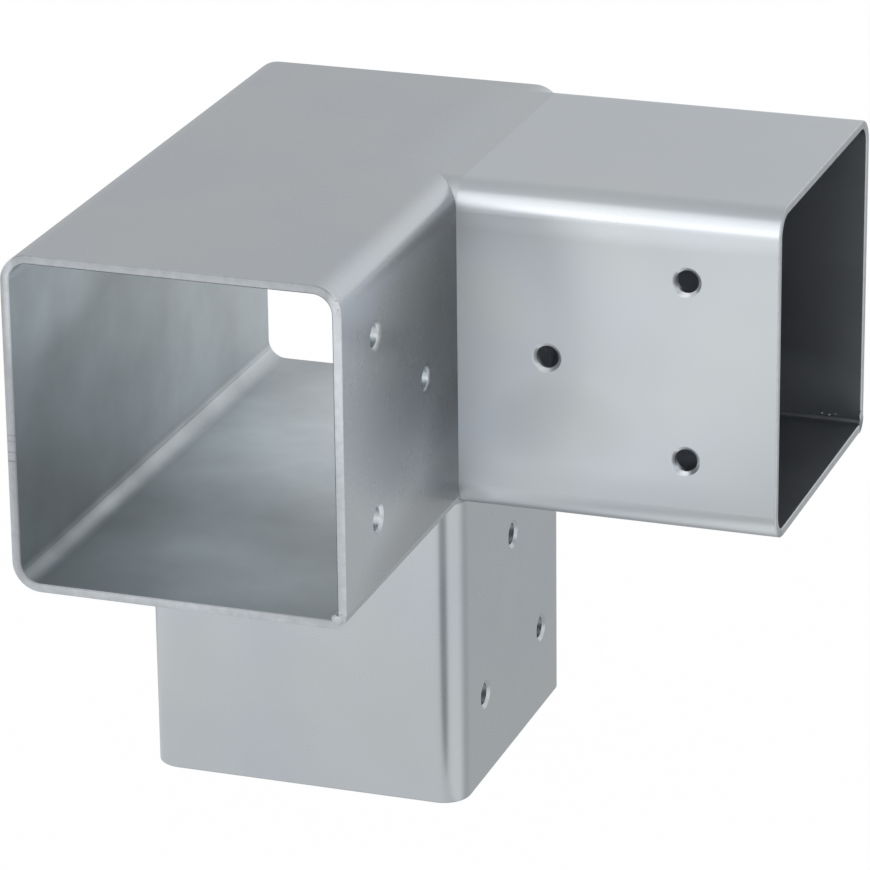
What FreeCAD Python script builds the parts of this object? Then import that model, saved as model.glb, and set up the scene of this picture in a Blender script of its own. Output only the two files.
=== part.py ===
import FreeCAD, Part
import math
import os
from FreeCAD import Vector

# Three way corner connector for square timber: three sleeves folded from sheet steel and welded
# together at one corner. Millimetres, +Z up. The origin is the centre of the leg's open lower end,
# -Y is the front, where the through sleeve's near mouth opens, and +X is the side sleeve's mouth.

# Sheet and sleeve section
post_size = 90.0  # side of the square post or beam that each sleeve takes
post_clearance = 1.0  # play across the post, so that it slides in
wall = 2.5  # thickness of the sheet
bend_inside_radius = 5.5  # inside radius of the three folded corners
seam_inside_radius = 1.5  # inside radius of the fourth corner, where the sheet's two edges meet

# Lengths
arm_length = 92.0  # how far each sleeve stands out from the corner cube

# Screw holes, three in one face of each sleeve
screw_hole_diameter = 6.5
screw_end_distance = 26.0  # mouth to the outer pair of holes
screw_edge_distance = 22.0  # each side edge of the sleeve to the nearer hole of the pair
inner_screw_distance = 26.0  # corner cube to the single hole on the centre line

# Edges and welds
hole_bevel_width = 1.0  # bevel round the outside of each screw hole, across the face
hole_bevel_depth = 0.8  # the same bevel, into the sheet
mouth_edge_break = 0.3  # bevel along the edges of each mouth
seam_bead_height = 0.9  # how far the closing weld stands into the sleeve

# Worked out from the sizes above
opening = post_size + post_clearance
section = opening + 2 * wall
half = section / 2
bend_outside_radius = bend_inside_radius + wall
seam_outside_radius = seam_inside_radius + wall
axis_height = arm_length + half
through_length = section + arm_length

# Directions of the three sleeves' own axes. Each section is drawn with its welded corner at
# (+x, +y) and runs along +z towards the mouth.
RIGHT = Vector(1, 0, 0)
LEFT = Vector(-1, 0, 0)
BACK = Vector(0, 1, 0)
FRONT = Vector(0, -1, 0)
UP = Vector(0, 0, 1)
DOWN = Vector(0, 0, -1)
TOUCH = 1e-6  # distances and lengths closer than this count as equal


def frame(origin, x_axis, y_axis, z_axis):
    """Placement that puts a sleeve's own axes along the given directions."""
    rotation = FreeCAD.Rotation(x_axis, y_axis, z_axis, "ZXY")
    return FreeCAD.Placement(origin, rotation)


through_frame = frame(Vector(0, half, axis_height), DOWN, RIGHT, FRONT)
side_frame = frame(Vector(half, 0, axis_height), DOWN, BACK, RIGHT)
leg_frame = frame(Vector(0, 0, arm_length), LEFT, BACK, DOWN)


def on_circle(centre, radius, degrees):
    """Point on a circle in the section's plane."""
    angle = math.radians(degrees)
    return centre + Vector(radius * math.cos(angle), radius * math.sin(angle), 0)


def quarter_arc(centre, radius, start_degrees):
    """Clockwise quarter of a circle, from the given angle."""
    points = [on_circle(centre, radius, start_degrees - turn) for turn in (0, 45, 90)]
    return Part.Arc(*points).toShape()


def folded_path(reach, radius, gap):
    """Edges clockwise round three bends, from the seam's one side to its other.

    reach is half the width across the path, radius that of the bends, and gap the distance
    from the seam's corner to each end."""
    edges = []
    last = Vector(reach, reach - gap, 0)
    for start in (0, -90, -180):
        corner = on_circle(Vector(0, 0, 0), math.sqrt(2) * (reach - radius), start - 45)
        arc = quarter_arc(corner, radius, start)
        entry = on_circle(corner, radius, start)
        edges += [Part.makeLine(last, entry), arc]
        last = on_circle(corner, radius, start - 90)
    edges.append(Part.makeLine(last, Vector(reach - gap, reach, 0)))
    return edges


def closed_section(reach, bend_radius, seam_radius):
    """Filled square with three bends and the rounded welded corner."""
    corner = Vector(reach - seam_radius, reach - seam_radius, 0)
    edges = folded_path(reach, bend_radius, seam_radius) + [quarter_arc(corner, seam_radius, 90)]
    return Part.Face(Part.Wire(Part.__sortEdges__(edges)))


def sheet_section():
    """The folded sheet: open at the seam, where its two edges stand square to the faces."""
    outer = folded_path(half, bend_outside_radius, seam_outside_radius)
    inner = folded_path(half - wall, bend_inside_radius, seam_inside_radius)
    edge = half - seam_outside_radius
    ends = [
        Part.makeLine(Vector(half, edge, 0), Vector(half - wall, edge, 0)),
        Part.makeLine(Vector(edge, half, 0), Vector(edge, half - wall, 0)),
    ]
    return Part.Face(Part.Wire(Part.__sortEdges__(outer + inner + ends)))


def seam_section():
    """The weld that closes the folded sheet: round outside, with a bead inside."""
    edge = half - seam_outside_radius
    outer = quarter_arc(Vector(edge, edge, 0), seam_outside_radius, 90)
    side_inner = Vector(half - wall, edge, 0)
    top_inner = Vector(edge, half - wall, 0)
    inward = Vector(-1, -1, 0).normalize()
    crown = (side_inner + top_inner) / 2 + inward * seam_bead_height
    edges = [
        outer,
        Part.makeLine(Vector(half, edge, 0), side_inner),
        Part.Arc(side_inner, crown, top_inner).toShape(),
        Part.makeLine(top_inner, Vector(edge, half, 0)),
    ]
    return Part.Face(Part.Wire(edges))


def wall_section():
    """The whole closed wall, with its welded corner, as it butts against another sleeve."""
    outside = closed_section(half, bend_outside_radius, seam_outside_radius)
    inside = closed_section(half - wall, bend_inside_radius, seam_inside_radius)
    return outside.cut(inside)


def run(face, placement, start, end):
    """A section run along a sleeve's own axis, from start to end."""
    solid = face.extrude(Vector(0, 0, end - start))
    solid.translate(Vector(0, 0, start))
    solid.Placement = placement.multiply(solid.Placement)
    return solid


def is_sheet_edge(edge):
    """Whether a straight edge just crosses the sheet, as at the seam."""
    return isinstance(edge.Curve, Part.Line) and abs(edge.Length - wall) < TOUCH


def break_mouth(solid, point, outward):
    """Bevel a sleeve's outer and inner edges at one mouth, but not the sheet's edges at the seam."""
    edges = []
    for edge in solid.Edges:
        in_plane = all(abs((end.Point - point).dot(outward)) < TOUCH for end in edge.Vertexes)
        if in_plane and not is_sheet_edge(edge):
            edges.append(edge)
    return solid.makeChamfer(mouth_edge_break, edges)


def screw_hole(centre, outward):
    """Cutter for one screw hole through one wall, with its bevel outside."""
    radius = screw_hole_diameter / 2
    drill = Part.makeCylinder(radius, 3 * wall, centre + outward * wall, outward * -1)
    bevel = Part.makeCone(
        radius + hole_bevel_width, radius, hole_bevel_depth, centre, outward * -1
    )
    return drill.fuse(bevel)


def drill_arm(sleeve, root, outward, along, across):
    """Cut an arm's three screw holes. root is where the face's centre line leaves the cube."""
    pair_offset = half - screw_edge_distance
    pair = root + along * (arm_length - screw_end_distance)
    centres = [
        pair + across * pair_offset,
        pair - across * pair_offset,
        root + along * inner_screw_distance,
    ]
    for centre in centres:
        sleeve = sleeve.cut(screw_hole(centre, outward))
    return sleeve


def through_sleeve():
    """Sleeve from back to front, open at both ends, with its screw holes in the right wall."""
    sleeve = run(sheet_section(), through_frame, 0, through_length)
    sleeve = break_mouth(sleeve, through_frame.Base, BACK)
    sleeve = break_mouth(sleeve, through_frame.Base + FRONT * through_length, FRONT)
    return drill_arm(sleeve, Vector(half, -half, axis_height), RIGHT, FRONT, UP)


def side_sleeve():
    """Sleeve butted against the through sleeve's right wall, with its holes in the front wall."""
    sleeve = run(sheet_section(), side_frame, 0, arm_length)
    sleeve = break_mouth(sleeve, side_frame.Base + RIGHT * arm_length, RIGHT)
    return drill_arm(sleeve, Vector(half, -half, axis_height), FRONT, RIGHT, UP)


def leg_sleeve():
    """Sleeve butted under the through sleeve, with its screw holes in the right wall."""
    sleeve = run(sheet_section(), leg_frame, 0, arm_length)
    sleeve = break_mouth(sleeve, leg_frame.Base + DOWN * arm_length, DOWN)
    return drill_arm(sleeve, Vector(half, 0, arm_length), RIGHT, DOWN, BACK)


def through_body():
    """The through sleeve's outside as one filled bar, to cut the joint welds against."""
    face = closed_section(half, bend_outside_radius, seam_outside_radius)
    return run(face, through_frame, 0, through_length)


def groove_fill(placement):
    """A butted sleeve's wall carried on until it meets the through sleeve's rounded corners.

    Returns the pieces that are left outside the through sleeve: weld metal, ground flush."""
    wall_end = run(wall_section(), placement, -bend_outside_radius, 0)
    return wall_end.cut(through_body()).Solids


def top_joint_weld():
    """Weld in the groove between the upper right bend and the side sleeve's top."""
    pieces = [piece for piece in groove_fill(side_frame) if piece.BoundBox.ZMax > axis_height]
    return pieces[0]


def corner_joint_weld():
    """Weld at the lower right, where the side sleeve, the leg and the through sleeve meet."""
    below_side = [piece for piece in groove_fill(side_frame) if piece.BoundBox.ZMax < axis_height]
    beside_leg = [piece for piece in groove_fill(leg_frame) if piece.BoundBox.XMin > 0]
    return below_side[0].fuse(beside_leg[0]).removeSplitter()


def left_joint_weld():
    """Weld in the groove between the lower left bend and the leg's left wall."""
    pieces = [piece for piece in groove_fill(leg_frame) if piece.BoundBox.XMax < 0]
    return pieces[0]


pieces = {
    "through_sleeve": through_sleeve(),
    "side_sleeve": side_sleeve(),
    "leg_sleeve": leg_sleeve(),
    "through_seam_weld": run(seam_section(), through_frame, 0, through_length),
    "side_seam_weld": run(seam_section(), side_frame, 0, arm_length),
    "leg_seam_weld": run(seam_section(), leg_frame, 0, arm_length),
    "top_joint_weld": top_joint_weld(),
    "corner_joint_weld": corner_joint_weld(),
    "left_joint_weld": left_joint_weld(),
}

os.makedirs("parts", exist_ok=True)
for name, shape in pieces.items():
    shape.exportStep(f"parts/{name}.step")
    box = shape.BoundBox
    print(
        f"{name}: {len(shape.Solids)} solid, {shape.Volume:.1f} mm3, valid {shape.isValid()}, "
        f"X {box.XMin:.2f} to {box.XMax:.2f}, Y {box.YMin:.2f} to {box.YMax:.2f}, "
        f"Z {box.ZMin:.2f} to {box.ZMax:.2f}"
    )
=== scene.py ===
"""Looks of a three way corner connector for square timber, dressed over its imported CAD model.

Metres, +Z up, unless a comment says millimetres. The through sleeve runs front (-Y) to back, the
side sleeve leaves it to the right (+X), and the leg sleeve stands below.
"""

import logging
from dataclasses import dataclass, field
from enum import Enum
from typing import Any, Union

import bmesh
import bpy
from mathutils import Matrix, Vector


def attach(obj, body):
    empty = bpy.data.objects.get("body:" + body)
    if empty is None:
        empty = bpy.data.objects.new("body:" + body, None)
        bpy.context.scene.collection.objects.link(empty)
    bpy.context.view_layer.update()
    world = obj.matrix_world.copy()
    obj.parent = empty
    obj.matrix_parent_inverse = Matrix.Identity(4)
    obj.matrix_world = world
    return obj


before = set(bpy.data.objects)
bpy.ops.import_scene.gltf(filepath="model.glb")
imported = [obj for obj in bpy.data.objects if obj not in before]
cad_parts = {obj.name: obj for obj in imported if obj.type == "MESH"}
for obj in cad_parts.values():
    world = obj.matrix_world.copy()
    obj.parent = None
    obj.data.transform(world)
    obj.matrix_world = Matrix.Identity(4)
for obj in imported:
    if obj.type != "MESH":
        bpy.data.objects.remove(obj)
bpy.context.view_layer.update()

log = logging.getLogger("corner_connector")

Colour = tuple[float, float, float]
Triple = tuple[float, float, float]
Span = tuple[float, float]

MM = 0.001
SLEEVE_HALF = 48 * MM  # half of a sleeve's outside width
FLAT_HALF = 40 * MM  # half of a sleeve's flat width, between its bends
SKIN_MIDDLE = 6.75 * MM  # bend radius at the sheet's middle: 5.5 mm inside, 8 mm outside
ARM_REACH = 140 * MM  # the arms' mouths from the leg's axis, and their axes above the ground
PLATED: Colour = (0.60, 0.625, 0.645)
RELIEF_STRENGTH = 0.02
RELIEF_DEPTH = 0.02 * MM


class Axis(Enum):
    """The direction a sleeve runs in."""

    X = "x"
    Y = "y"
    Z = "z"


@dataclass(frozen=True)
class Noise:
    """A smooth noise: its patches to the metre, its finer layers and how strong those are."""

    scale: float
    detail: float
    roughness: float


NOISE_MEAN = 0.5
BLOTCHES = Noise(24.0, 2.0, 0.45)
CLOUDS = Noise(55.0, 3.0, 0.5)
INSIDE_MOTTLE = Noise(40.0, 4.0, 0.6)
SAWN_MOTTLE = Noise(350.0, 3.0, 0.6)
ROLLED_GRAIN = Noise(420.0, 2.0, 0.6)
WELD_MOTTLE = Noise(250.0, 3.0, 0.6)
WELD_RIPPLE = Noise(900.0, 2.0, 0.6)


class Signal:
    """One output socket of a shader tree, for use in Python expressions."""

    def __init__(self, tree: "ShaderTree", source: Any) -> None:
        """Wrap a socket.

        Args:
            tree: The tree that new Math nodes go into.
            source: An output socket.
        """
        self.tree = tree
        self.source = source

    def _math(self, operation: str, *values: Any) -> "Signal":
        """Add one Math node.

        Args:
            operation: The node's operation.
            values: Its inputs, signals or numbers.

        Returns:
            The node's result.
        """
        inputs = dict(enumerate(values))
        made = self.tree.node("ShaderNodeMath", {"operation": operation}, inputs)
        return Signal(self.tree, made.outputs[0])

    def __add__(self, other: "Number") -> "Signal":
        """Sum with a signal or number."""
        return self._math("ADD", self, other)

    __radd__ = __add__

    def __sub__(self, other: "Number") -> "Signal":
        """This minus a signal or number."""
        return self._math("SUBTRACT", self, other)

    def __rsub__(self, other: "Number") -> "Signal":
        """A number minus this."""
        return self._math("SUBTRACT", other, self)

    def __mul__(self, other: "Number") -> "Signal":
        """Product with a signal or number."""
        return self._math("MULTIPLY", self, other)

    def __truediv__(self, other: "Number") -> "Signal":
        """This divided by a signal or number."""
        return self._math("DIVIDE", self, other)

    def __pow__(self, other: "Number") -> "Signal":
        """This to the power of a signal or number."""
        return self._math("POWER", self, other)

    def __abs__(self) -> "Signal":
        """Distance from zero."""
        return self._math("ABSOLUTE", self)

    def at_least(self, other: "Number") -> "Signal":
        """The larger of this and a signal or number."""
        return self._math("MAXIMUM", self, other)

    def step(self, low: float, high: float) -> "Signal":
        """Rise smoothly from 0 to 1 between two values, or fall where high is below low.

        Args:
            low: Value at which the result is 0.
            high: Value at which the result is 1.

        Returns:
            The smooth step.
        """
        made = self.tree.node(
            "ShaderNodeMapRange",
            {"interpolation_type": "SMOOTHSTEP", "clamp": True},
            {"Value": self, "From Min": low, "From Max": high, "To Min": 0.0, "To Max": 1.0},
        )
        return Signal(self.tree, made.outputs["Result"])


Number = Union[Signal, float]


class ShaderTree:
    """Builds the nodes of one material or world."""

    def __init__(self, tree: bpy.types.NodeTree) -> None:
        """Empty the tree.

        Args:
            tree: The node tree to fill.
        """
        self.tree = tree
        tree.nodes.clear()

    def feed(self, socket: Any, value: Any) -> None:
        """Link a signal or socket, or set a value.

        Args:
            socket: The input socket.
            value: A signal, an output socket, a number or a colour.
        """
        if isinstance(value, Signal):
            value = value.source
        if isinstance(value, bpy.types.NodeSocket):
            self.tree.links.new(value, socket)
        elif isinstance(value, tuple):
            socket.default_value = (*value, 1.0)
        else:
            socket.default_value = value

    def node(self, kind: str, settings: dict | None = None, inputs: dict | None = None) -> Any:
        """Add a node.

        Args:
            kind: Blender's name of the node type.
            settings: Attributes, set first.
            inputs: Values or links by input name or number.

        Returns:
            The node.
        """
        made = self.tree.nodes.new(kind)
        for name, value in (settings or {}).items():
            setattr(made, name, value)
        for name, value in (inputs or {}).items():
            self.feed(made.inputs[name], value)
        return made

    def object_point(self) -> Any:
        """The point in the object's own coordinates, in metres."""
        return self.node("ShaderNodeTexCoord").outputs["Object"]

    def parts(self, vector: Any) -> tuple[Signal, Signal, Signal]:
        """Split a vector.

        Args:
            vector: A vector socket.

        Returns:
            Its three parts.
        """
        made = self.node("ShaderNodeSeparateXYZ", inputs={0: vector})
        return tuple(Signal(self, out) for out in made.outputs)

    def joined(self, x: Number, y: Number, z: Number) -> Any:
        """A vector from three signals or numbers."""
        return self.node("ShaderNodeCombineXYZ", inputs={0: x, 1: y, 2: z}).outputs[0]

    def noise(self, point: Any, pattern: Noise) -> Signal:
        """Read a noise.

        Args:
            point: Where to read it.
            pattern: The noise.

        Returns:
            Its value, around NOISE_MEAN.
        """
        made = self.node(
            "ShaderNodeTexNoise",
            {"noise_dimensions": "3D"},
            {
                "Vector": point,
                "Scale": pattern.scale,
                "Detail": pattern.detail,
                "Roughness": pattern.roughness,
            },
        )
        return Signal(self, made.outputs[0])

    def mix(self, factor: Number, first: Any, second: Any) -> Any:
        """Mix two colours.

        Args:
            factor: 0 for the first, 1 for the second.
            first: A colour or colour socket.
            second: A colour or colour socket.

        Returns:
            The mixed colour.
        """
        made = self.node(
            "ShaderNodeMix",
            {"data_type": "RGBA", "clamp_factor": True},
            {0: factor, 6: first, 7: second},
        )
        return made.outputs[2]

    def dimmed(self, colour: Any, amount: Number) -> Any:
        """Multiply a colour by a number.

        Args:
            colour: A colour or colour socket.
            amount: The number.

        Returns:
            The colour.
        """
        made = self.node(
            "ShaderNodeMix",
            {"data_type": "RGBA", "blend_type": "MULTIPLY"},
            {0: 1.0, 6: colour, 7: self.joined(amount, amount, amount)},
        )
        return made.outputs[2]

    def mottled(self, colour: Any, noise: Signal, swing: float) -> Any:
        """Let a noise make a colour lighter and darker.

        Args:
            colour: A colour or colour socket.
            noise: The noise.
            swing: From the darkest to the lightest, as a share of the colour.

        Returns:
            The colour.
        """
        return self.dimmed(colour, 1.0 + (noise - NOISE_MEAN) * swing)

    def metal(self, colour: Any, roughness: Signal, height: Signal) -> None:
        """End the tree with a metal that has a faint relief.

        Args:
            colour: Its colour.
            roughness: Its roughness.
            height: The relief, as a share of RELIEF_DEPTH.
        """
        bump = self.node(
            "ShaderNodeBump",
            inputs={"Strength": RELIEF_STRENGTH, "Distance": RELIEF_DEPTH, "Height": height},
        )
        shader = self.node(
            "ShaderNodeBsdfPrincipled",
            inputs={
                "Base Color": colour,
                "Metallic": 1.0,
                "Roughness": roughness,
                "Normal": bump.outputs[0],
            },
        )
        self.node("ShaderNodeOutputMaterial", inputs={"Surface": shader.outputs[0]})


def new_material(name: str) -> tuple[bpy.types.Material, ShaderTree]:
    """Start a material.

    Args:
        name: Its name.

    Returns:
        The material and its empty tree.
    """
    material = bpy.data.materials.new(name)
    material.use_nodes = True
    return material, ShaderTree(material.node_tree)


@dataclass(frozen=True)
class SleeveRun:
    """Where one sleeve lies, for finishes that follow its own axis."""

    axis: Axis
    mouths: tuple[float, ...]
    height: float = 0.0

    def read(self, tree: ShaderTree) -> tuple[Signal, Signal, Signal, Signal]:
        """Read the sleeve's own coordinates.

        Args:
            tree: The tree to add nodes to.

        Returns:
            Place along the sleeve, the two places across it, and the distance from its square
            core, which is 5.5 mm inside and 8 mm outside.
        """
        x, y, z = tree.parts(tree.object_point())
        z = z - self.height
        own = {Axis.X: (x, y, z), Axis.Y: (y, x, z), Axis.Z: (z, x, y)}
        along, across, over = own[self.axis]
        past_across = (abs(across) - FLAT_HALF).at_least(0.0)
        past_over = (abs(over) - FLAT_HALF).at_least(0.0)
        core = (past_across * past_across + past_over * past_over) ** 0.5
        return along, across, over, core


@dataclass(frozen=True)
class Patch:
    """A soft place where a finish is lighter or darker, mostly as painted light and shade, or
    duller. Millimetres.

    gain is what the colour is multiplied by at the centre, and dulling what is added to the
    roughness there. Both fade out at the reach along each axis.
    """

    centre: Triple
    reach: Triple
    gain: float
    dulling: float = 0.0

    def read(self, tree: ShaderTree) -> Signal:
        """How strongly a point belongs to the patch.

        Args:
            tree: The tree to add nodes to.

        Returns:
            1 at the centre, fading to 0 at the reach.
        """
        point = tree.parts(tree.object_point())
        squares = [
            ((part - middle * MM) / (reach * MM)) ** 2.0
            for part, middle, reach in zip(point, self.centre, self.reach)
        ]
        return (squares[0] + squares[1] + squares[2]).step(1.0, 0.0)


def patched(tree: ShaderTree, colour: Any, patches: tuple[Patch, ...]) -> tuple[Any, Number]:
    """Lay patches over a finish.

    Args:
        tree: The tree to add nodes to.
        colour: The finish's colour.
        patches: The patches.

    Returns:
        The changed colour, and what to add to the roughness.
    """
    dulled = 0.0
    for patch in patches:
        near = patch.read(tree)
        colour = tree.dimmed(colour, 1.0 + near * (patch.gain - 1.0))
        dulled = near * patch.dulling + dulled
    return colour, dulled


def side_hole_patches(x: float, z: float, shade: float) -> tuple[Patch, ...]:
    """Paint shade on a side sleeve hole's bevel at the left, and a highlight below.

    Args:
        x: The hole's place along the sleeve, in millimetres.
        z: Its height, in millimetres.
        shade: The gain at the left.

    Returns:
        The two patches.
    """
    return (
        Patch((x - 3.1, -46.9, z + 0.4), (1.5, 1.9, 3.4), shade),
        Patch((x - 0.8, -47.6, z - 3.8), (2.2, 0.9, 1.0), 1.35),
    )


# The near arm's right wall: painted shade towards the joint and under its upper bend,
# and painted highlights at its holes.
NEAR_WALL = (
    Patch((48, -48, 155), (1.0, 98, 62), 0.22),
    Patch((48, -62, 96), (1.0, 80, 20), 0.7),
    Patch((48, -48, 148), (1.0, 36, 44), 0.78),
    Patch((48, -48, 116), (1.0, 34, 24), 0.6),
    Patch((48, -105, 128), (1.0, 62, 56), 1.1),
    Patch((47.3, -60, 181.5), (1.3, 80, 5), 0.7),
    Patch((46.4, -114, 166), (2.4, 4.5, 4.5), 1.5),
    Patch((46.4, -74, 140), (2.4, 4.5, 4.5), 1.6),
    Patch((46.4, -114, 114), (2.4, 4.5, 4.5), 1.4),
)
# Painted light and shade inside the through sleeve: on its left wall, its floor, and the bend
# # between them, with a painted dark line along the bend.
NEAR_INSIDE = (
    Patch((-45.5, -66, 147), (2.4, 44, 24), 1.12),
    Patch((-45.5, 40, 135), (2.4, 90, 60), 1.25),
    Patch((-45.5, -100, 118), (2.4, 75, 42), 0.78),
    Patch((-45.5, -115, 174), (2.4, 60, 24), 1.5),
    Patch((-6, -122, 94.5), (60, 34, 2.4), 1.2),
    Patch((-14, -68, 94.5), (30, 24, 2.4), 0.9),
    Patch((15, -5, 94.5), (60, 75, 2.4), 1.45),
    Patch((-45.2, -46, 98.8), (1.2, 160, 1.7), 0.84),
    Patch((-44.9, -46, 97.5), (1.2, 160, 0.35), 0.72),
    Patch((-43.9, -116, 96.1), (4, 9, 4), 0.86),
    Patch((-43.9, -84, 96.1), (4, 12, 4), 1.1),
    Patch((-43.9, -58, 96.1), (4, 10, 4), 0.87),
    Patch((-43.9, -14, 96.1), (4, 16, 4), 0.88),
)
# The near mouth's rim: painted light below, to the right and above, and four nicks at the left.
NEAR_RIM = (
    Patch((0, -140, 93), (60, 1, 3), 1.06),
    Patch((47, -140, 186), (3, 1, 60), 1.42),
    Patch((47, -140, 135), (3, 1, 70), 1.12),
    Patch((0, -140, 187), (60, 1, 3), 1.1),
    Patch((-47, -140, 136.6), (3, 1, 0.25), 0.7),
    Patch((-47, -140, 134.9), (3, 1, 0.2), 0.75),
    Patch((-47, -140, 131.8), (3, 1, 0.25), 0.7),
    Patch((-47, -140, 129.2), (3, 1, 0.3), 0.65),
)
# The through sleeve at the joint: a painted highlight on the bend on top, and a painted spot of
# # light within the side sleeve.
NEAR_JOINT = (
    Patch((54, 0, 188), (34, 90, 9), 1.09),
    Patch((48, 26, 110), (2.2, 14, 14), 2.5),
)
# Painted light and shade on the side sleeve's front wall, which mirrors the near arm by the
# # joint, and painted shade and highlights at its holes.
SIDE_FRONT = (
    Patch((48, -48, 140), (40, 4, 56), 1.3, 0.45),
    Patch((78, -48, 162), (36, 3, 26), 1.07),
    Patch((78, -48, 119), (24, 3, 18), 0.91),
    Patch((134, -48, 142), (40, 3, 48), 1.05),
    *side_hole_patches(114, 166, 0.25),
    *side_hole_patches(114, 114, 0.25),
    *side_hole_patches(74, 140, 0.4),
)
# A painted highlight on its upper bend, slight painted shade on its top, then painted shade on
# # its lower bend, darkest by the joint.
SIDE_BENDS = (
    Patch((94, -48, 182), (90, 9, 8), 1.17, -0.05),
    Patch((94, 0, 188), (110, 90, 6), 0.97),
    Patch((94, -48, 95), (90, 12, 15), 0.94, 0.12),
    Patch((94, -43.5, 93), (95, 4, 3.5), 0.78),
    Patch((49, -48, 96), (11, 3, 5), 0.78),
    Patch((50, -45, 92), (9, 8, 2), 0.5),
)
# Painted light inside it, on its rear wall and its floor.
SIDE_INSIDE = (
    Patch((110, 45.5, 104), (34, 2.4, 14), 1.4),
    Patch((81, 45.5, 128), (17, 2.4, 17), 2.2),
    Patch((94, 7, 94.5), (16, 14, 2.4), 2.4),
)
# Painted shade on the leg's front right bend.
LEG_BEND = (Patch((46, -45.5, 46), (6, 6, 110), 0.86),)
SEAM_END = (Patch((45.5, -140, 94.5), (6, 1, 6), 0.98),)
# A painted highlight on the weld where the side sleeve's upper bend meets the through sleeve.
TOP_JOINT = (Patch((48, -48, 180), (12, 9, 12), 1.3, 0.3),)
# Painted shade on the weld in the corner below the side sleeve, by the joint.
CORNER_JOINT = (Patch((48, -46, 92), (5, 12, 3), 0.6),)


@dataclass(frozen=True)
class ZincSheet:
    """Zinc-plated sheet: satin, faintly blotched, with the grain of the rolling."""

    name: str
    run: SleeveRun
    base: Colour = PLATED
    cool: Colour = (0.585, 0.612, 0.652)
    warm: Colour = (0.612, 0.632, 0.638)
    inside: Colour = (0.58, 0.62, 0.64)
    cut: Colour = (0.49, 0.51, 0.53)
    roughness: float = 0.27
    inside_roughness: float = 0.42
    patches: tuple[Patch, ...] = ()

    blotch_edge: Span = (0.35, 0.65)
    cloud_edge: Span = (0.3, 0.7)
    cloud_share: float = 0.6
    mottle_swing: float = 0.4
    cloud_roughness: float = 0.08
    grain_roughness: float = 0.03
    cloud_relief: float = 2.0
    grain_stretch: float = 6.0
    skin_blend: float = 0.3 * MM
    rim_edge: Span = (0.5 * MM, 0.3 * MM)

    def build(self) -> bpy.types.Material:
        """Make the material.

        Returns:
            The material.
        """
        material, tree = new_material(self.name)
        along, across, over, core = self.run.read(tree)
        point = tree.object_point()
        blotch = tree.noise(point, BLOTCHES)
        cloud = tree.noise(point, CLOUDS)
        outer = tree.mix(blotch.step(*self.blotch_edge), self.cool, self.warm)
        outer = tree.mix(cloud.step(*self.cloud_edge) * self.cloud_share, outer, self.base)
        inner = tree.mottled(self.inside, tree.noise(point, INSIDE_MOTTLE), self.mottle_swing)
        within = core.step(SKIN_MIDDLE + self.skin_blend, SKIN_MIDDLE - self.skin_blend)
        colour = tree.mix(within, outer, inner)
        sawn = tree.mottled(self.cut, tree.noise(point, SAWN_MOTTLE), self.mottle_swing)
        colour = tree.mix(self._rim(along), colour, sawn)
        colour, dulled = patched(tree, colour, self.patches)
        grain = self._grain(tree, along, across, over)
        roughness = (
            self.roughness
            + (cloud - NOISE_MEAN) * self.cloud_roughness
            + (grain - NOISE_MEAN) * self.grain_roughness
            + within * (self.inside_roughness - self.roughness)
            + dulled
        )
        tree.metal(colour, roughness, grain + cloud * self.cloud_relief)
        return material

    def _rim(self, along: Signal) -> Signal:
        """Find the cut faces of the mouths.

        Args:
            along: Place along the sleeve.

        Returns:
            1 on them, 0 elsewhere.
        """
        rims = [abs(along - mouth).step(*self.rim_edge) for mouth in self.run.mouths]
        found = rims[0]
        for rim in rims[1:]:
            found = found.at_least(rim)
        return found

    def _grain(self, tree: ShaderTree, along: Signal, across: Signal, over: Signal) -> Signal:
        """Fine streaks round the sleeve, as the sheet was rolled."""
        return tree.noise(tree.joined(along * self.grain_stretch, across, over), ROLLED_GRAIN)


@dataclass(frozen=True)
class GroundWeld:
    """Weld metal, plated like the sheet and mottled."""

    name: str
    base: Colour = PLATED
    roughness: float = 0.28
    mottle_swing: float = 0.06
    patches: tuple[Patch, ...] = ()
    ripple_roughness: float = 0.04

    def build(self) -> bpy.types.Material:
        """Make the material.

        Returns:
            The material.
        """
        material, tree = new_material(self.name)
        point = tree.object_point()
        colour = tree.mottled(self.base, tree.noise(point, WELD_MOTTLE), self.mottle_swing)
        colour, dulled = patched(tree, colour, self.patches)
        ripple = tree.noise(point, WELD_RIPPLE)
        roughness = self.roughness + (ripple - NOISE_MEAN) * self.ripple_roughness + dulled
        tree.metal(colour, roughness, ripple)
        return material


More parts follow.
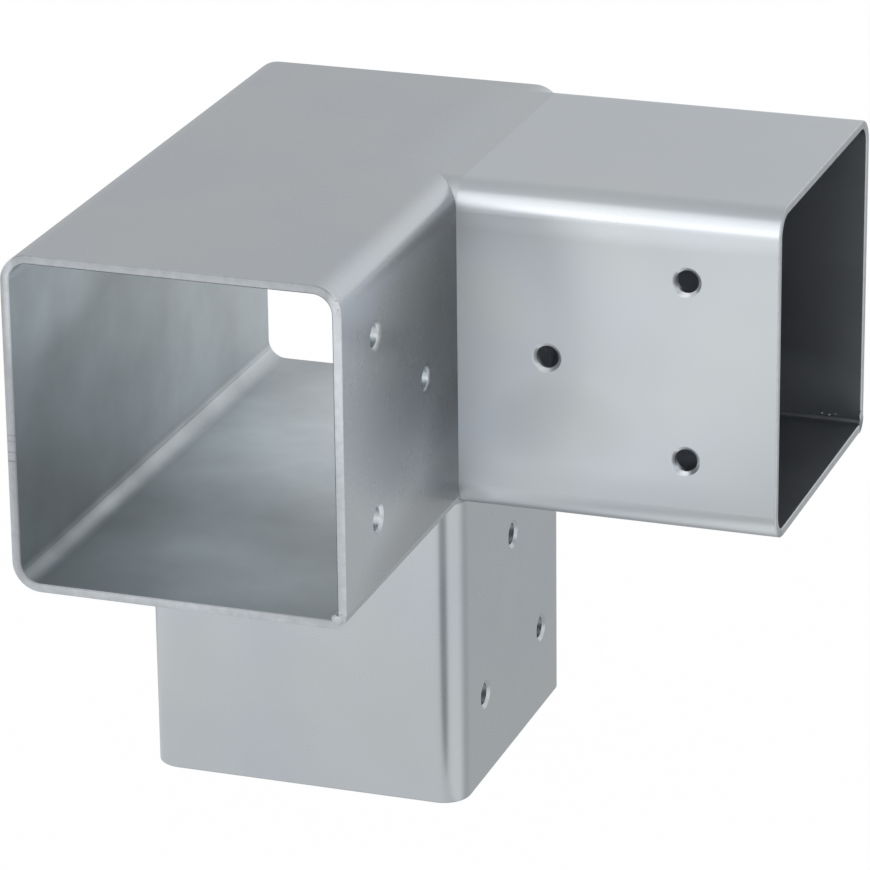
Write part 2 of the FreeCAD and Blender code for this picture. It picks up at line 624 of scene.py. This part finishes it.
@dataclass(frozen=True)
class Connector:
    """The welded connector: its three sleeves and the welds between them."""

    through: SleeveRun = SleeveRun(Axis.Y, (SLEEVE_HALF, -ARM_REACH), ARM_REACH)
    side: SleeveRun = SleeveRun(Axis.X, (ARM_REACH,), ARM_REACH)
    leg: SleeveRun = SleeveRun(Axis.Z, (0.0,))

    def dress(self) -> None:
        """Give every CAD node its finish."""
        for node, finish in {**self._sleeves(), **self._welds()}.items():
            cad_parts[node].material_slots[0].material = finish.build()
            log.info("%s wears %s", node, finish.name)

    def _sleeves(self) -> dict[str, ZincSheet]:
        """List the sleeves' finishes.

        Returns:
            The finish of each node.
        """
        return {
            "through_sleeve": ZincSheet(
                "zinc_sheet_through",
                self.through,
                cut=(0.51, 0.53, 0.555),
                patches=NEAR_WALL + NEAR_INSIDE + NEAR_RIM + NEAR_JOINT,
            ),
            "side_sleeve": ZincSheet(
                "zinc_sheet_side",
                self.side,
                base=(0.72, 0.746, 0.772),
                cool=(0.71, 0.743, 0.785),
                warm=(0.725, 0.752, 0.768),
                # Painted shade: the side sleeve is much darker inside than outside.
                inside=(0.32, 0.335, 0.36),
                cut=(0.60, 0.62, 0.635),
                roughness=0.33,
                patches=SIDE_FRONT + SIDE_BENDS + SIDE_INSIDE,
            ),
            "leg_sleeve": ZincSheet(
                "zinc_sheet_leg", self.leg, base=(0.62, 0.65, 0.685), patches=LEG_BEND
            ),
        }

    @staticmethod
    def _welds() -> dict[str, GroundWeld]:
        """List the welds' finishes.

        Returns:
            The finish of each node.
        """
        return {
            "through_seam_weld": GroundWeld(
                "through_weld", base=(0.53, 0.55, 0.57), patches=SEAM_END
            ),
            "side_seam_weld": GroundWeld(
                "shaded_weld", base=(0.33, 0.345, 0.36), roughness=0.45, mottle_swing=0.4
            ),
            "leg_seam_weld": GroundWeld("leg_weld"),
            "top_joint_weld": GroundWeld(
                "top_weld", base=(0.64, 0.665, 0.685), patches=TOP_JOINT
            ),
            "corner_joint_weld": GroundWeld("corner_weld", patches=CORNER_JOINT),
            "left_joint_weld": GroundWeld("left_weld"),
        }


@dataclass(frozen=True)
class Bead:
    """One drop of weld metal, in millimetres."""

    centre: Triple
    radii: Triple


@dataclass
class WeldBeads:
    """The drops of weld metal left at the mouths, where the seams' closing welds end."""

    finish: GroundWeld = GroundWeld(
        "bead_weld", base=(0.58, 0.60, 0.62), roughness=0.4, mottle_swing=0.3
    )
    smoothness: int = 3
    beads: dict[str, tuple[Bead, ...]] = field(
        default_factory=lambda: {
            "through_seam_end": (
                Bead((45.6, -139.9, 94.6), (1.5, 0.3, 1.3)),
                Bead((46.4, -139.9, 96.7), (0.6, 0.25, 0.5)),
            ),
            "through_rim_specks": (
                Bead((46.9, -140.0, 184.4), (0.35, 0.15, 0.25)),
                Bead((47.3, -140.0, 181.9), (0.25, 0.15, 0.35)),
            ),
            "side_seam_end": (
                Bead((139.9, 45.3, 96.9), (0.5, 1.3, 1.5)),
                Bead((140.0, 46.4, 98.6), (0.3, 0.6, 0.8)),
            ),
            "side_seam_specks": (
                Bead((128.2, 44.9, 96.6), (0.4, 0.3, 0.3)),
                Bead((130.4, 44.8, 96.4), (0.5, 0.3, 0.3)),
                Bead((132.3, 44.9, 96.7), (0.3, 0.3, 0.25)),
            ),
        }
    )

    def build(self) -> None:
        """Make one piece for each group of drops."""
        metal = self.finish.build()
        for name, group in self.beads.items():
            self._piece(name, group, metal)
            log.info("%s: %d drops", name, len(group))

    def _piece(self, name: str, group: tuple[Bead, ...], metal: bpy.types.Material) -> None:
        """Make one group of drops.

        Args:
            name: The piece's name.
            group: Its drops.
            metal: The material it wears.
        """
        mesh = bmesh.new()
        for bead in group:
            place = Matrix.Translation(Vector(bead.centre) * MM)
            place = place @ Matrix.Diagonal((*bead.radii, 1.0))
            bmesh.ops.create_icosphere(
                mesh, subdivisions=self.smoothness, radius=MM, matrix=place
            )
        data = bpy.data.meshes.new(name)
        mesh.to_mesh(data)
        mesh.free()
        data.shade_smooth()
        data.materials.append(metal)
        piece = bpy.data.objects.new(name, data)
        bpy.context.scene.collection.objects.link(piece)
        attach(piece, "root")


@dataclass(frozen=True)
class PhotoCamera:
    """The camera, as it stood for the photograph."""

    picture_pixels: int = 870
    focal_pixels: float = 4949.51
    sensor_mm: float = 36.0
    far_end: float = 50.0
    place: Triple = (0.46969, -1.26959, 0.6043)
    right: Triple = (0.94490708, 0.32716063, -0.01079526)
    up: Triple = (-0.10646525, 0.33834487, 0.93498016)
    back: Triple = (0.30954122, -0.88232005, 0.3545357)

    def build(self) -> None:
        """Place the camera."""
        data = bpy.data.cameras.new("photo_camera")
        data.sensor_width = self.sensor_mm
        data.lens = self.focal_pixels * self.sensor_mm / self.picture_pixels
        data.clip_end = self.far_end
        camera = bpy.data.objects.new("photo_camera", data)
        rows = [(*row, 0.0) for row in zip(self.right, self.up, self.back)]
        turn = Matrix([*rows, (0, 0, 0, 1)])
        camera.matrix_world = Matrix.Translation(Vector(self.place)) @ turn
        bpy.context.scene.collection.objects.link(camera)
        bpy.context.scene.camera = camera
        log.info("camera: lens %.1f mm", data.lens)


@dataclass(frozen=True)
class PaleFloor:
    """Pale floor, white to the camera but for a faint shadow.

    The metal sees a floor that is white near the part and loses a share of its light elsewhere:
    towards the camera, in two rings, at the rear and at the left. Distances count from the leg's
    front right corner, and the edges named turn are cosines or sines of the direction.
    """

    half_width: float = 4.0
    drop: float = 0.0002
    leg_corner: float = 45 * MM
    paint: Colour = (0.8, 0.8, 0.8)

    ahead: Span = (0.35, -0.937)
    ahead_turn: Span = (0.93, 0.985)
    ahead_end: Span = (0.45, 0.25)
    ahead_loss: float = 0.7
    near_ring: Span = (0.25, 0.40)
    near_loss: float = 0.10
    far_ring: Span = (0.40, 0.65)
    far_loss: float = 0.25
    rear_turn: Span = (-0.1, 0.6)
    rear_loss: float = 0.46
    left_turn: Span = (0.8, 0.3)
    left_end: Span = (0.40, 0.05)
    left_loss: float = 0.22

    red_loss: float = 0.02
    green_loss: float = 0.005
    camera_white: float = 0.99
    mirrored_white: float = 0.95

    def build(self) -> None:
        """Lay the floor."""
        size = 2 * self.half_width
        bpy.ops.mesh.primitive_plane_add(size=size, location=(0, 0, -self.drop))
        floor = bpy.context.object
        floor.name = "floor"
        material, tree = new_material("pale_floor")
        paint = tree.node("ShaderNodeBsdfDiffuse", inputs={"Color": self.paint})
        rays = tree.node("ShaderNodeLightPath").outputs
        to_camera = Signal(tree, rays["Is Camera Ray"])
        through_glass = Signal(tree, rays["Is Transmission Ray"])
        mirrored = Signal(tree, rays["Is Glossy Ray"]).at_least(through_glass)
        in_metal = 1.0 - to_camera
        tone = 1.0 - self._loss(tree) * in_metal
        red = tone - in_metal * self.red_loss
        green = tone - in_metal * self.green_loss
        white = tree.node(
            "ShaderNodeEmission", inputs={"Color": tree.joined(red, green, tone), "Strength": 1.0}
        )
        share = to_camera * self.camera_white + mirrored * self.mirrored_white
        both = tree.node(
            "ShaderNodeMixShader", inputs={0: share, 1: paint.outputs[0], 2: white.outputs[0]}
        )
        tree.node("ShaderNodeOutputMaterial", inputs={"Surface": both.outputs[0]})
        floor.data.materials.append(material)
        log.info("floor: %.0f m square", size)

    def _loss(self, tree: ShaderTree) -> Signal:
        """Work out how much of its light the floor loses in a mirrored ray.

        Args:
            tree: The tree to add nodes to.

        Returns:
            The share lost.
        """
        x, y, _ = tree.parts(tree.object_point())
        x, y = x - self.leg_corner, y + self.leg_corner
        away = (x * x + y * y) ** 0.5 + 1 * MM
        ahead = (x * self.ahead[0] + y * self.ahead[1]) / away
        losses = (
            away.step(*self.near_ring) * self.near_loss,
            away.step(*self.far_ring) * self.far_loss,
            (y / away).step(*self.rear_turn) * self.rear_loss,
            away.step(*self.left_end) * (x / away).step(*self.left_turn) * self.left_loss,
        )
        loss = ahead.step(*self.ahead_turn) * away.step(*self.ahead_end) * self.ahead_loss
        for other in losses:
            loss = loss.at_least(other)
        return loss


@dataclass(frozen=True)
class LightTent:
    """Pale tent round the scene, darker above and behind, but less so at the rear right."""

    low: Colour = (0.98, 0.99, 1.0)
    high: Colour = (0.52, 0.53, 0.54)
    rear_left: Colour = (0.56, 0.57, 0.58)
    rear_right: Colour = (0.85, 0.86, 0.87)
    high_edge: Span = (0.0, 0.8)
    rear_edge: Span = (0.2, 0.9)
    right_edge: Span = (-0.4, 0.5)

    def build(self) -> None:
        """Make it the world."""
        world = bpy.data.worlds.new("light_tent")
        bpy.context.scene.world = world
        world.use_nodes = True
        tree = ShaderTree(world.node_tree)
        x, y, z = tree.parts(tree.node("ShaderNodeTexCoord").outputs["Generated"])
        tone = tree.mix(z.step(*self.high_edge), self.low, self.high)
        rear = y.step(*self.rear_edge)
        right = x.step(*self.right_edge)
        tone = tree.mix(rear * (1.0 - right), tone, self.rear_left)
        tone = tree.mix(rear * right, tone, self.rear_right)
        sky = tree.node("ShaderNodeBackground", inputs={"Color": tone, "Strength": 1.0})
        tree.node("ShaderNodeOutputWorld", inputs={"Surface": sky.outputs[0]})
        log.info("light tent made")


@dataclass(frozen=True)
class Softbox:
    """A softbox that faces the object."""

    name: str
    place: Triple
    size: Span
    watts: float
    aim: Triple = (0.04, -0.04, 0.1)

    def build(self) -> None:
        """Hang the softbox."""
        data = bpy.data.lights.new(self.name, "AREA")
        data.shape = "RECTANGLE"
        data.size, data.size_y = self.size
        data.energy = self.watts
        lamp = bpy.data.objects.new(self.name, data)
        lamp.location = self.place
        facing = Vector(self.aim) - Vector(self.place)
        lamp.rotation_euler = facing.to_track_quat("-Z", "Y").to_euler()
        bpy.context.scene.collection.objects.link(lamp)
        log.info("%s: %.1f W", self.name, self.watts)


@dataclass(frozen=True)
class Studio:
    """Camera, pale floor, light tent and softboxes."""

    camera: PhotoCamera = PhotoCamera()
    floor: PaleFloor = PaleFloor()
    tent: LightTent = LightTent()
    softboxes: tuple[Softbox, ...] = (
        Softbox("front_softbox", (-0.7, -2.0, 0.9), (2.4, 1.7), 5.0),
        Softbox("high_softbox", (-0.45, -1.5, 1.95), (2.0, 0.9), 2.2),
    )

    def build(self) -> None:
        """Build the studio."""
        for item in (self.camera, self.floor, self.tent, *self.softboxes):
            item.build()
        bpy.context.scene.view_settings.view_transform = "Standard"


def main() -> None:
    """Dress the connector and light it."""
    logging.basicConfig(level=logging.INFO, format="%(message)s")
    Connector().dress()
    WeldBeads().build()
    Studio().build()


if __name__ == "__main__":
    main()
